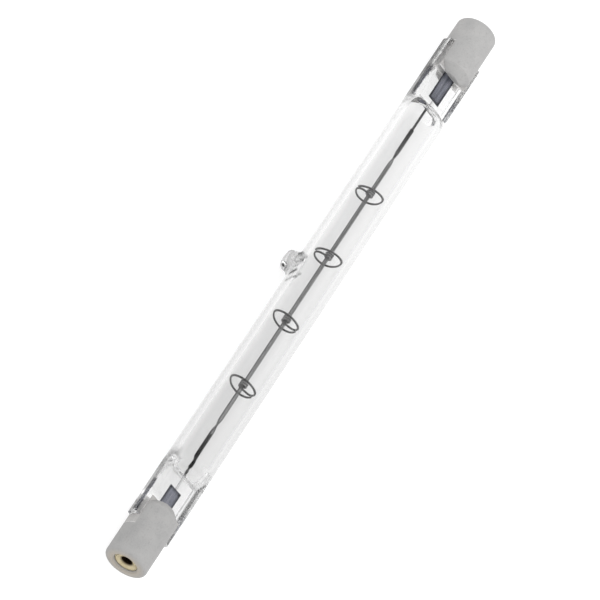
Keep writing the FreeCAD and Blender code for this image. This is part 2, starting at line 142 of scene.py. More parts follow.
def pick(piece, kind, test):
    """Enter edit mode with just those vertices, edges or faces selected whose middle passes the test."""
    take(piece)
    bpy.ops.object.mode_set(mode="EDIT")
    bpy.ops.mesh.select_mode(type=kind)
    bpy.ops.mesh.select_all(action="DESELECT")
    bpy.ops.object.mode_set(mode="OBJECT")
    mesh = piece.data
    if kind == "FACE":
        for face in mesh.polygons:
            face.select = test(face.center / MM, face.normal)
    elif kind == "EDGE":
        for edge in mesh.edges:
            ends = [mesh.vertices[index].co for index in edge.vertices]
            edge.select = test((ends[0] + ends[1]) / 2 / MM, ends[1] - ends[0])
    else:
        for vertex in mesh.vertices:
            vertex.select = test(vertex.co / MM, vertex.normal)
    bpy.ops.object.mode_set(mode="EDIT")


def pull_along(distance):
    """Extrude what is picked along the lamp."""
    bpy.ops.mesh.extrude_region_move(TRANSFORM_OT_translate={"value": (distance * MM, 0, 0)})


def resize_picked(factor, place):
    """Scale what is picked across the lamp, about its axis."""
    bpy.ops.transform.resize(value=(1, factor, factor), center_override=(place * MM, 0, 0))


def round_picked(radius, segments):
    """Round the edges that are picked."""
    bpy.ops.mesh.bevel(offset=radius * MM, segments=segments, profile=0.5)
    put_down()


def apply_modifier(piece, kind, settings):
    take(piece)
    modifier = piece.modifiers.new(kind.title(), kind)
    for setting, value in settings.items():
        setattr(modifier, setting, value)
    bpy.ops.object.modifier_apply(modifier=modifier.name)


def outward(piece):
    """Merge what meets and turn every face to the outside."""
    pick_all(piece)
    bpy.ops.mesh.remove_doubles(threshold=MERGE_DISTANCE * MM)
    bpy.ops.mesh.normals_make_consistent(inside=False)
    bpy.ops.object.mode_set(mode="OBJECT")


def smooth(piece, angle):
    take(piece)
    bpy.ops.object.shade_smooth_by_angle(angle=math.radians(angle))


def ease(share):
    share = min(max(share, 0), 1)
    return share * share * (3 - 2 * share)


def blend(first, second, share):
    return first + (second - first) * share


def passed(value, start, stop):
    """How far a value has come from start to stop, as a share."""
    return (value - start) / (stop - start)


def spread(start, stop, count):
    return [blend(start, stop, number / count) for number in range(count + 1)]


# Quartz envelope

RIM_POINTS = 128
GLASS_SMOOTHING = 40
# Shares of a quarter of the pinch's section where its edge, the rounding, the rail's top and the slope end
EDGE_SHARE = 0.2
ROUNDING_SHARE = 0.4
TOP_SHARE = 0.45
SLOPE_SHARE = 0.6
# Rings along the tube: how many steps each stretch takes, and how far the close ones reach round the tip
RUN_STEPS = 20
SHOULDER_STEPS = 14
PINCH_STEPS = 8
TIP_ZONE = 3.0
TIP_ZONE_STEPS = 24
TIP_HOLE_ZONE = 1.5
TIP_HOLE_ZONE_STEPS = 16
TIP_DIRECTION = Vector((0, math.cos(math.radians(TIP_ANGLE)), -math.sin(math.radians(TIP_ANGLE))))
# Width, height and crown of each step in which the tip is drawn out of the tube, and of the hole inside it
TIP_ROOT = 2.45
TIP_STEPS = (
    (2.25, 4.02, 0.0), (2.05, 4.2, 0.0), (1.95, 4.5, 0.0), (1.94, 4.9, 0.0),
    (1.88, 5.25, 0.0), (1.66, 5.6, 0.05), (1.2, 5.84, 0.1),
)
TIP_HOLE_ROOT = 0.75
TIP_HOLE_STEPS = ((0.6, 3.1, 0.0), (0.5, 3.6, 0.0), (0.36, 4.1, 0.0), (0.2, 4.6, 0.1))
# A spot inside a step's rim comes no nearer to it than this share of the step's width
INNER_SHARE = 0.95
# The melted skin is smoothed this far beyond the root and this often
SOFT_MARGIN = 0.3
SOFT_TURNS = 3
# Lumps round the tip: their number, depth as a share of its radius and turn, and the height they grow over
WIDE_LUMPS = 2
WIDE_LUMP_DEPTH = 0.05
WIDE_LUMP_TURN = 0.6
FINE_LUMPS = 5
FINE_LUMP_DEPTH = 0.035
FINE_LUMP_TWIST = 3
LUMP_RISE = 0.8
# Places of the other two finishes in the envelope's list
PRESSED = 1
MELTED = 2


def pinch_quarter(share):
    """Point on a quarter of the pinch's section, from the middle of its edge to the middle of its face."""
    rail_top = RAIL_TOP - SEAM
    web_top = WEB_TOP - SEAM
    if share < EDGE_SHARE:
        return PINCH_EDGE, (rail_top - RAIL_ROUNDING) * share / EDGE_SHARE
    if share < ROUNDING_SHARE:
        turn = QUARTER_TURN * passed(share, EDGE_SHARE, ROUNDING_SHARE)
        return (PINCH_EDGE - RAIL_ROUNDING * (1 - math.cos(turn)),
                rail_top - RAIL_ROUNDING * (1 - math.sin(turn)))
    if share < TOP_SHARE:
        along = passed(share, ROUNDING_SHARE, TOP_SHARE)
        return blend(PINCH_EDGE - RAIL_ROUNDING, RAIL_INNER_EDGE, along), rail_top
    if share < SLOPE_SHARE:
        along = passed(share, TOP_SHARE, SLOPE_SHARE)
        return blend(RAIL_INNER_EDGE, WEB_EDGE, along), blend(rail_top, web_top, ease(along))
    return blend(WEB_EDGE, 0, passed(share, SLOPE_SHARE, 1)), web_top


def outside_section(place, angle):
    """Where the outside of the glass lies at this place along the lamp and this angle from Y."""
    pressed = ease((abs(place) - TUBE_END) / SHOULDER_LENGTH)
    across, up = math.cos(angle), math.sin(angle)
    quarter = math.atan2(abs(up), abs(across)) / QUARTER_TURN
    flat_across, flat_up = pinch_quarter(quarter)
    return (blend(TUBE_RADIUS * across, math.copysign(flat_across, across), pressed),
            blend(TUBE_RADIUS * up, math.copysign(flat_up, up), pressed))


def bore_section(place, angle):
    """Where the gas space's wall lies, pressed flat towards its ends."""
    pressed = ease((abs(place) - TUBE_END) / (CAVITY_END - TUBE_END))
    width = blend(BORE_RADIUS, CAVITY_END_WIDTH / 2, pressed)
    height = blend(BORE_RADIUS, CAVITY_END_HEIGHT / 2, pressed)
    return width * math.cos(angle), height * math.sin(angle)


def drawn_tube(name, places, radius, section):
    """A tube drawn ring by ring along the lamp, closed at both ends, each ring pressed to its section."""
    put_down()
    bpy.ops.mesh.primitive_circle_add(
        vertices=RIM_POINTS, radius=radius * MM, location=(places[0] * MM, 0, 0),
        rotation=(0, QUARTER_TURN, 0))
    piece = name_it(name)
    settle(piece)
    pick_all(piece)
    bpy.ops.mesh.edge_face_add()
    bpy.ops.mesh.select_mode(type="EDGE")
    for before, after in zip(places, places[1:]):
        pull_along(after - before)
    bpy.ops.object.mode_set(mode="OBJECT")
    for vertex in piece.data.vertices:
        across, up = section(vertex.co.x / MM, math.atan2(vertex.co.z, vertex.co.y))
        vertex.co.y = across * MM
        vertex.co.z = up * MM
    return piece


def from_tip_axis(spot):
    """Height of a spot along the tip's direction, from the lamp's axis, and its offset square to that."""
    arm = spot - Vector((TIP_PLACE, 0, 0))
    height = arm.dot(TIP_DIRECTION)
    return height, arm - TIP_DIRECTION * height


def by_tip(spot, reach):
    """Whether a spot is on the tip's side of the lamp and within this reach of the tip's axis."""
    height, offset = from_tip_axis(spot)
    return height > 0 and offset.length < reach


def draw_out(piece, root, steps):
    """Pull the faces round the tip's axis outwards in steps, each with its own width, height and crown."""
    pick(piece, "FACE", lambda spot, normal: by_tip(spot, root))
    width_before = root
    for width, height, crown in steps:
        bpy.ops.mesh.extrude_region_move()
        shape = bmesh.from_edit_mesh(piece.data)
        for vertex in [vertex for vertex in shape.verts if vertex.select]:
            offset = from_tip_axis(vertex.co / MM)[1]
            on_rim = any(not face.select for face in vertex.link_faces)
            far = width if on_rim else min(offset.length / width_before, INNER_SHARE) * width
            if offset.length > 0:
                offset = offset.normalized() * far
            rise = height + crown * (1 - (far / width) ** 2)
            vertex.co = (Vector((TIP_PLACE, 0, 0)) + TIP_DIRECTION * rise + offset) * MM
        bmesh.update_edit_mesh(piece.data)
        width_before = width
    put_down()


def shrunk_by_melting(spot):
    """Where a spot of the tip's skin ends up: drawn in here and there, as a hand torch leaves it."""
    height, offset = from_tip_axis(spot)
    turn = math.atan2(offset.z, offset.x)
    grown = ease((height - TUBE_RADIUS) / LUMP_RISE)
    wide = math.sin(WIDE_LUMPS * turn + WIDE_LUMP_TURN) - 1
    fine = math.sin(FINE_LUMPS * turn + FINE_LUMP_TWIST * height) - 1
    return spot + offset * (WIDE_LUMP_DEPTH * wide + FINE_LUMP_DEPTH * fine) * grown


def soften_tip(piece):
    """Let the tip's skin run smooth, as melted glass does."""
    def on_tip(spot, normal):
        on_tube = math.hypot(spot.y, spot.z) < TUBE_RADIUS + NEAR_SKIN
        return by_tip(spot, TIP_ROOT + SOFT_MARGIN) and not on_tube

    pick(piece, "VERT", on_tip)
    bpy.ops.mesh.vertices_smooth(factor=0.5, repeat=SOFT_TURNS)
    put_down()
    for vertex in piece.data.vertices:
        if on_tip(vertex.co / MM, None):
            vertex.co = shrunk_by_melting(vertex.co / MM) * MM


def ring_places(zone, zone_steps, ends):
    """Places of the rings from left to right: close together round the tip, and as given at each end."""
    tip_zone = spread(TIP_PLACE - zone, TIP_PLACE + zone, zone_steps)
    left_run = spread(-TUBE_END, tip_zone[0], RUN_STEPS)[1:-1]
    right_run = spread(tip_zone[-1], TUBE_END, RUN_STEPS)[1:-1]
    return [-place for place in reversed(ends[-1])] + left_run + tip_zone + right_run + ends[1]


def outside_places():
    shoulder = spread(TUBE_END, TUBE_END + SHOULDER_LENGTH, SHOULDER_STEPS)
    pinches = {side: spread(shoulder[-1], stop - SEAM, PINCH_STEPS)[1:] for side, stop in PINCH_END.items()}
    ends = {side: shoulder + pinch for side, pinch in pinches.items()}
    return ring_places(TIP_ZONE, TIP_ZONE_STEPS, ends)


def bore_places():
    ends = dict.fromkeys(PINCH_END, spread(TUBE_END, CAVITY_END, SHOULDER_STEPS))
    return ring_places(TIP_HOLE_ZONE, TIP_HOLE_ZONE_STEPS, ends)


def quartz_glass():
    """The envelope as one clear body: its outside with the tip drawn out, and the gas space inside it."""
    outside = drawn_tube("quartz_glass", outside_places(), TUBE_RADIUS, outside_section)
    outward(outside)
    draw_out(outside, TIP_ROOT, TIP_STEPS)
    soften_tip(outside)
    outward(outside)
    bore = drawn_tube("quartz_bore", bore_places(), BORE_RADIUS, bore_section)
    outward(bore)
    draw_out(bore, TIP_HOLE_ROOT, TIP_HOLE_STEPS)
    outward(bore)
    smooth(outside, GLASS_SMOOTHING)
    smooth(bore, GLASS_SMOOTHING)
    outside.data.materials.append(clear_quartz("quartz", left_tone=0.69, right_tone=0.82, outside=True))
    outside.data.materials.append(pressed_quartz())
    outside.data.materials.append(melted_quartz())
    for face in outside.data.polygons:
        if abs(face.center.x) / MM > TUBE_END + SHOULDER_LENGTH / 2:
            face.material_index = PRESSED
        elif by_tip(face.center / MM, TIP_ROOT):
            face.material_index = MELTED
    bore.data.materials.append(clear_quartz("quartz_bore", left_tone=0.97, right_tone=0.97, outside=False))
    pick_all(bore)
    bpy.ops.mesh.flip_normals()
    take(outside)
    bore.select_set(True)
    bpy.ops.object.join()
    return outside


# Filament

COIL_PITCH = 0.2
COIL_STEPS = 12
WIRE_POINTS = 6
# Where the coil draws in between its glowing length and its legs, how far along and by what share
COIL_NECKS = (-30.2, 28.8)
NECK_REACH = 0.8
NECK_SHARE = 0.5


def neck_factor(place):
    """What share of its radius the coil keeps at this place along the lamp."""
    drawn_in = sum(math.exp(-((place - neck) / NECK_REACH) ** 2) for neck in COIL_NECKS)
    return 1 - NECK_SHARE * drawn_in


def wound_filament():
    """Wire wound into an open coil along the lamp."""
    put_down()
    bpy.ops.mesh.primitive_circle_add(vertices=WIRE_POINTS, radius=COIL_WIRE / 2 * MM)
    piece = name_it("wound_filament")
    pick_all(piece)
    start = COIL_START + COIL_WIRE / 2
    bpy.ops.transform.translate(value=(start * MM, (COIL_RADIUS - COIL_WIRE / 2) * MM, 0))
    bpy.ops.object.mode_set(mode="OBJECT")
    turns = int((COIL_STOP - COIL_START - COIL_WIRE) / COIL_PITCH)
    apply_modifier(piece, "SCREW", {
        "axis": "X", "angle": 2 * math.pi, "screw_offset": COIL_PITCH * MM, "iterations": turns,
        "steps": COIL_STEPS, "render_steps": COIL_STEPS, "use_merge_vertices": False,
        "use_smooth_shade": True,
    })
    pick(piece, "EDGE", lambda spot, run: False)
    bpy.ops.mesh.select_non_manifold(extend=False)
    bpy.ops.mesh.edge_face_add()
    put_down()
    outward(piece)
    for vertex in piece.data.vertices:
        factor = neck_factor(vertex.co.x / MM)
        vertex.co.y *= factor
        vertex.co.z *= factor
    return piece


# Ceramic caps and contacts

CAP_POINTS = 112
CAP_SMOOTHING = 35
# The blocks that shape a cap: just wider than it, so that only the rounded corners cut, or well beyond it
TONGUE_BLOCK_EDGE = 3.66
BLOCK_REACH = 5.0
BLOCK_OVERRUN = 2.0
# Sharp edges of the caps and the contacts are rounded a little, and the hole's floor is dished
EDGE_ROUNDING = 0.1
SHARP_ANGLE = 28
CONTACT_POINTS = 80
CONTACT_SMOOTHING = 40
DISH_MARGIN = 0.45
DISH_DEPTH = 0.12


def turned_blank(name, side, start, stop, radius, points):
    """A round bar of this radius along the lamp, from start to stop on its side."""
    put_down()
    bpy.ops.mesh.primitive_cylinder_add(
        vertices=points, radius=radius * MM, depth=(stop - start) * MM, end_fill_type="NGON",
        location=((start + stop) / 2 * side * MM, 0, 0), rotation=(0, QUARTER_TURN * side, 0))
    piece = name_it(name)
    settle(piece)
    return piece


def cut_block(name, side, ends, half_width, half_height):
    """A block about the lamp's axis, between two places along it on this side."""
    put_down()
    low, high = sorted(end * side for end in ends)
    bpy.ops.mesh.primitive_cube_add(size=1, location=((low + high) / 2 * MM, 0, 0))
    piece = name_it(name)
    piece.scale = ((high - low) * MM, 2 * half_width * MM, 2 * half_height * MM)
    settle(piece)
    return piece


def shape_with(piece, tool, operation):
    """Cut a piece with a block, or keep what lies in it, and throw the block away."""
    apply_modifier(piece, "BOOLEAN", {"operation": operation, "object": tool, "solver": "EXACT"})
    bpy.data.objects.remove(tool)


def steatite_cap(side_name, side):
    """Cap turned from a bar, with a mouth for the contact, a slot for the pinch and rounded tongues."""
    piece = turned_blank(f"steatite_cap_{side_name}", side, CAP_INNER_END, END_FACE, CAP_RADIUS, CAP_POINTS)

    def end_face(spot, normal):
        return normal.x * side > SQUARE_NORMAL and spot.x * side > END_FACE - NEAR_FACE

    pick(piece, "FACE", end_face)
    mouth = POCKET_RADIUS + POCKET_CHAMFER
    bpy.ops.mesh.inset(thickness=(CAP_RADIUS - mouth) * MM)
    pull_along(-POCKET_CHAMFER * side)
    resize_picked(POCKET_RADIUS / mouth, END_FACE * side)
    depth = END_FACE - POCKET_CHAMFER - CONTACT_BACK
    pull_along(-depth * side)

    def inner_face(spot, normal):
        return normal.x * side < -SQUARE_NORMAL and spot.x * side < CAP_INNER_END + NEAR_FACE

    pick(piece, "FACE", inner_face)
    bpy.ops.transform.translate(value=(TONGUE_BEVEL * side * MM, 0, 0))
    pull_along(-TONGUE_BEVEL * side)
    resize_picked(TONGUE_END_HEIGHT / CAP_RADIUS, CAP_INNER_END * side)

    def outer_rim(spot, run):
        on_end = abs(spot.x * side - END_FACE) < NEAR_FACE
        return on_end and abs(math.hypot(spot.y, spot.z) - CAP_RADIUS) < NEAR_RIM

    pick(piece, "EDGE", outer_rim)
    round_picked(CAP_END_ROUNDING, segments=6)

    tongue_ends = (CAP_INNER_END, END_FACE + BLOCK_OVERRUN)
    tongues = cut_block("tongue_block", side, tongue_ends, TONGUE_BLOCK_EDGE, BLOCK_REACH)
    for hand, corner in ((-side, TONGUE_WIDE_CORNER), (side, TONGUE_TIGHT_CORNER)):
        def tongue_corner(spot, run):
            upright = abs(run.z) > BLOCK_REACH * MM
            return upright and abs(spot.x * side - CAP_INNER_END) < NEAR_FACE and spot.y * hand > 0

        pick(tongues, "EDGE", tongue_corner)
        round_picked(corner, segments=16)
    shape_with(piece, tongues, "INTERSECT")
    slot_ends = (CAP_INNER_END - BLOCK_OVERRUN, SLOT_END)
    slot = cut_block("pinch_slot", side, slot_ends, BLOCK_REACH, SLOT_HALF_HEIGHT)
    shape_with(piece, slot, "DIFFERENCE")
    apply_modifier(piece, "BEVEL", {
        "width": EDGE_ROUNDING * MM, "segments": 3, "limit_method": "ANGLE",
        "angle_limit": math.radians(SHARP_ANGLE), "use_clamp_overlap": True,
    })
    outward(piece)
    smooth(piece, CAP_SMOOTHING)
    return piece


def brass_contact(side_name, side):
    """Cup turned from brass, with a rolled rim, a flared mouth and a blind hole."""
    piece = turned_blank(
        f"brass_contact_{side_name}", side, CONTACT_BACK, CONTACT_FRONT, CONTACT_RADIUS, CONTACT_POINTS)
    pick(piece, "FACE", lambda spot, normal: normal.x * side > SQUARE_NORMAL)
    bpy.ops.mesh.inset(thickness=(CONTACT_RADIUS - CONTACT_MOUTH_RADIUS) * MM)
    pull_along(-CONTACT_MOUTH_DEPTH * side)
    resize_picked(CONTACT_HOLE_RADIUS / CONTACT_MOUTH_RADIUS, CONTACT_FRONT * side)
    throat = CONTACT_FRONT - CONTACT_MOUTH_DEPTH
    depth = throat - CONTACT_FLOOR
    pull_along(-depth * side)
    bpy.ops.mesh.inset(thickness=DISH_MARGIN * MM, depth=-DISH_DEPTH * MM)
    put_down()

    def rims(spot, run):
        at_front = abs(spot.x * side - CONTACT_FRONT) < NEAR_FACE
        at_throat = abs(spot.x * side - throat) < NEAR_FACE
        return abs(run.x) < SQUARE_RUN * MM and (at_front or at_throat)

    pick(piece, "EDGE", rims)
    round_picked(EDGE_ROUNDING, segments=4)
    outward(piece)
    smooth(piece, CONTACT_SMOOTHING)
    return piece


# Finishes

# Most values of a noise lie between these two
NOISE_LOW = 0.3
NOISE_HIGH = 0.7
# Refractive index of quartz, and the share of its reflection that is kept where it faces the viewer
QUARTZ_INDEX = 1.458
FACING_SHEEN = 0.3
# Sockets of a Mix node that mixes colours
MIX_SHARE = 0
MIX_FIRST = 6
MIX_SECOND = 7
MIX_RESULT = 2


class Signal:
    """A shader socket that takes part in sums: each sum adds its Math node."""

    def __init__(self, finish, socket):
        self.finish = finish
        self.socket = socket

    def sum(self, operation, *terms):
        return self.finish.node("ShaderNodeMath", {"operation": operation}, dict(enumerate(terms)))

    def __add__(self, other):
        return self.sum("ADD", self, other)

    def __sub__(self, other):
        return self.sum("SUBTRACT", self, other)

    def __rsub__(self, other):
        return self.sum("SUBTRACT", other, self)

    def __mul__(self, other):
        return self.sum("MULTIPLY", self, other)

    def __pow__(self, other):
        return self.sum("POWER", self, other)

    def __abs__(self):
        return self.sum("ABSOLUTE", self)

    __radd__ = __add__
    __rmul__ = __mul__


class Finish:
    """A material in the making, with one shader that ends in its output."""

    def __init__(self, name):
        self.material = bpy.data.materials.new(name)
        self.material.use_nodes = True
        self.tree = self.material.node_tree
        self.tree.nodes.clear()
        self.shader = self.tree.nodes.new("ShaderNodeBsdfPrincipled")
        output = self.tree.nodes.new("ShaderNodeOutputMaterial")
        self.tree.links.new(self.shader.outputs[0], output.inputs["Surface"])

    def node(self, kind, settings=None, inputs=None, output=0):
        """Add a node, with its settings first and then the values or links of its sockets."""
        made = self.tree.nodes.new(kind)
        for setting, value in (settings or {}).items():
            setattr(made, setting, value)
        self.feed(made, inputs or {})
        return Signal(self, made.outputs[output])

    def feed(self, made, inputs):
        for key, value in inputs.items():
            if isinstance(value, Signal):
                self.tree.links.new(value.socket, made.inputs[key])
            else:
                made.inputs[key].default_value = value

    def wear(self, inputs):
        """Feed the shader itself, and hand over the finished material."""
        self.feed(self.shader, inputs)
        return self.material

    def glass(self, tone, roughness, normal):
        """Quartz of this tone, which reflects less than real quartz where it faces the viewer."""
        colour = self.node("ShaderNodeCombineColor", None, {"Red": tone, "Green": tone, "Blue": tone})
        return self.wear({
            "Base Color": colour, "Roughness": roughness, "IOR": QUARTZ_INDEX, "Transmission Weight": 1.0,
            "Specular Tint": grey(FACING_SHEEN), "Normal": normal,
        })

    def place(self):
        return self.node("ShaderNodeTexCoord", output="Object")

    def stretched(self, share):
        """Places counted at this share along the lamp, so that a pattern is drawn out that way."""
        return self.node("ShaderNodeMapping", {"vector_type": "POINT"}, {
            "Vector": self.place(), "Scale": (share, 1, 1)})

    def noise(self, where, scale, detail, roughness=0.55):
        return self.node("ShaderNodeTexNoise", None, {
            "Vector": where, "Scale": scale, "Detail": detail, "Roughness": roughness})

    def axes(self):
        """The place along the lamp, across it and up."""
        along = self.node("ShaderNodeSeparateXYZ", None, {"Vector": self.place()})
        return [Signal(self, socket) for socket in along.socket.node.outputs]

    def mix(self, share, first, second):
        return self.node("ShaderNodeMix", {"data_type": "RGBA"}, {
            MIX_SHARE: share, MIX_FIRST: first, MIX_SECOND: second}, MIX_RESULT)

    def range(self, value, low, high, to_low=0.0, to_high=1.0):
        return self.node("ShaderNodeMapRange", {"clamp": True}, {
            "Value": value, "From Min": low, "From Max": high, "To Min": to_low, "To Max": to_high})

    def span(self, value, start, stop, to_low=0.0, to_high=1.0):
        """A range between two places in millimetres."""
        return self.range(value, start * MM, stop * MM, to_low, to_high)

    def swing(self, noise, to_low=0.0, to_high=1.0):
        """A noise whose usual values run from one of these to the other."""
        return self.range(noise, NOISE_LOW, NOISE_HIGH, to_low, to_high)

    def bump(self, height, strength, distance):
        return self.node("ShaderNodeBump", None, {
            "Height": height, "Strength": strength, "Distance": distance * MM})


def grey(level, warmth=0.0):
    """A colour of this lightness, warmer or cooler by a small share."""
    return (level * (1 + warmth), level, level * (1 - warmth), 1)


def from_axis(across, up):
    """How far a place is from the lamp's axis."""
    return (across * across + up * up) ** 0.5


# Dark flecks on the exhaust tip and round its root: place, reach and depth of shade
TIP_FLECKS = (
    ((0.4, 4.87, -2.03), 0.46, 0.99),
    ((-0.62, 3.99, -0.24), 0.46, 0.92), ((-0.36, 4.0, 0.15), 0.5, 0.94), ((-0.07, 3.97, 0.49), 0.44, 0.9),
    ((-1.43, 3.79, 1.29), 0.42, 0.7), ((-0.79, 3.64, 1.65), 0.42, 0.65),
    ((-2.24, 4.0, -0.1), 0.44, 0.75), ((-1.93, 3.97, 0.45), 0.4, 0.65),
    ((2.06, 4.11, 0.61), 0.46, 0.8), ((2.68, 3.89, 0.93), 0.42, 0.55),
)
# A fleck is darkest over this share of its reach
FLECK_CORE = 0.5


def flecked(finish, tone):
    """The tone, darkened at each of the dark flecks."""
    for place, reach, depth in TIP_FLECKS:
        away = finish.node("ShaderNodeVectorMath", {"operation": "DISTANCE"}, {
            0: finish.place(), 1: Vector(place) * MM}, "Value")
        tone = tone * finish.span(away, reach * FLECK_CORE, reach, 1 - depth, 1)
    return tone


# How far the tone swings in streaks, how far it swings across the tube as painted shade and light, and how
# much painted shade greys the edge by the shoulders
STREAK_SWING = 0.015
ACROSS_SWING = 0.07
EDGE_SHADE = 0.55


def clear_quartz(name, left_tone, right_tone, outside):
    """Fused quartz with faint drawing lines, darker towards the left end, and outside with painted shade
    and light across the tube, flecks, and painted shade at its +Y edge by the shoulders.
    """
    finish = Finish(name)
    lines = finish.noise(finish.stretched(0.06), scale=900, detail=2)
    streaks = finish.noise(finish.stretched(0.12), scale=420, detail=3)
    along, across = finish.axes()[:2]
    # Darker towards the left end and lighter towards the right end
    tone_along_lamp = finish.span(along, -TUBE_END, TUBE_END, left_tone, right_tone)
    tone = tone_along_lamp + finish.swing(streaks, -STREAK_SWING, STREAK_SWING)
    if outside:
        # Painted shade and light across the tube: darker towards -Y, lighter towards +Y
        tone = tone + finish.span(across, -TUBE_RADIUS, TUBE_RADIUS, -ACROSS_SWING, ACROSS_SWING)
        # Painted shade: the +Y edge greys by each shoulder
        by_shoulder = finish.span(abs(along), TUBE_END - 0.8, TUBE_END + 0.6)
        by_edge = finish.span(across, TUBE_RADIUS - 0.5, TUBE_RADIUS - 0.05)
        tone = flecked(finish, tone - by_edge * by_shoulder * EDGE_SHADE)
    return finish.glass(tone, roughness=0.0, normal=finish.bump(lines, strength=0.02, distance=0.02))


# Soft borders in a pinch, for the painted shades and lights of its glass: across it from the middle, and up
# from the middle
TIP_SIDE_RAIL = (3.0, 3.5)
PLAIN_SIDE_RAIL = (3.1, 3.5)
FLANK = (3.5, 3.9)
SLOPE_FOOT = (2.9, 3.05)
SLOPE_HEAD = (3.5, 3.35)
BELOW_ROUNDING = (0.9, 0.4)
ABOVE_WEB = (0.5, 0.9)
# Painted shade: how much darker its flanks and its slope are, and how much less so on the left and in a
# cap; its own tones; how much darker its web is at the left end; the painted light that pales the right
# end's plain rail; and the tone in a cap, a painted light that makes the glass nearly clear there so that
# the shaded slot shows lighter
PLAIN_FLANK_SHADE = 0.7
PLAIN_SLOPE_SHADE = 0.8
TIP_FLANK_SHADE = 0.85
LEFT_FLANK_RELIEF = 0.1
CAPPED_FLANK_RELIEF = 0.5
WEB_TONES = (0.82, 0.9)
LEFT_WEB_SHADE = 0.1
RAIL_PAINTED_LIGHT = 0.12
CAPPED_PAINTED_LIGHT_TONE = 0.97


def pressed_quartz():
    """The same quartz where jaws have pressed it: uneven, grainy on the rails, with painted shade on its
    flanks and slope, and painted light on one rail and inside the caps.
    """
    finish = Finish("pressed_quartz")
    dents = finish.noise(finish.place(), scale=900, detail=3)
    grain = finish.noise(finish.place(), scale=3200, detail=3)
    along, tip_side, up = finish.axes()
    plain_side = 0 - tip_side
    left_end = finish.span(along, 10, -10)
    in_cap = finish.span(abs(along), CAP_INNER_END - 0.6, CAP_INNER_END)
    low = finish.span(up, *BELOW_ROUNDING)
    tip_flank = finish.span(tip_side, *FLANK) * low
    plain_flank = finish.span(plain_side, *FLANK) * low
    plain_slope = finish.span(plain_side, *SLOPE_FOOT) * finish.span(plain_side, *SLOPE_HEAD)
    plain_rail = finish.span(plain_side, *PLAIN_SIDE_RAIL)
    # On the left both rails are grainy, and on the right the plain side's rail is pale instead, a painted
    # light
    grainy = finish.span(tip_side, *TIP_SIDE_RAIL) + plain_rail * left_end
    pale = plain_rail - plain_rail * left_end
    high_slope = plain_slope * finish.span(up, *ABOVE_WEB)
    plain_shade = plain_flank * PLAIN_FLANK_SHADE + high_slope * PLAIN_SLOPE_SHADE
    # The left end's web is darker, and painted light pales the right end's plain rail
    web = finish.swing(dents, *WEB_TONES) - left_end * LEFT_WEB_SHADE + pale * RAIL_PAINTED_LIGHT
    # Painted shade on the plain side's flank and slope, at the left end only
    open_tone = web * (1 - plain_shade * left_end)
    relief_on_left = left_end * (LEFT_FLANK_RELIEF + in_cap * CAPPED_FLANK_RELIEF)
    tip_shade = tip_flank * (TIP_FLANK_SHADE - relief_on_left)
    # Painted light: in a cap the glass turns nearly clear so that the shaded slot behind it shows lighter;
    # painted shade darkens the tip side's flank
    tone = (open_tone + (CAPPED_PAINTED_LIGHT_TONE - open_tone) * in_cap) * (1 - tip_shade)
    relief = dents * (0.8 + grainy * 1.2) + grain * (0.2 + grainy * 0.6)
    return finish.glass(tone, roughness=0.12, normal=finish.bump(relief, strength=0.3, distance=0.2))


# Painted shade on the melted tip: how much darker it is at its rim and on its right side
RIM_SHADE = 0.55
RIGHT_SIDE_SHADE = 0.2


def melted_quartz():
    """The same quartz where a torch closed the exhaust tube: streaky, with painted shade at its rim and on
    its right side, and dark flecks.
    """
    finish = Finish("melted_quartz")
    streaks = finish.noise(finish.place(), scale=1100, detail=3)
    along = finish.axes()[0]
    rim = finish.node("ShaderNodeLayerWeight", None, {"Blend": 0.4}, "Facing")
    right_side = finish.span(along, TIP_PLACE + 0.7, TIP_PLACE + 1.8)
    # Painted shade darkens the tip at its rim and on its right side
    tone = finish.swing(streaks, 0.55, 0.72) * (1 - rim * RIM_SHADE) - right_side * RIGHT_SIDE_SHADE
    normal = finish.bump(streaks, strength=0.15, distance=0.2)
    return finish.glass(flecked(finish, tone), roughness=0.05, normal=normal)


# How strongly the ceramic shows its speckles, its pits, the stain and the painted shade that greys the left
# cap
SPECKLE_SHARE = 0.35
PIT_SHARE = 0.3
STAIN_SHARE = 0.55
LEFT_PAINTED_SHADE_SHARE = 0.12


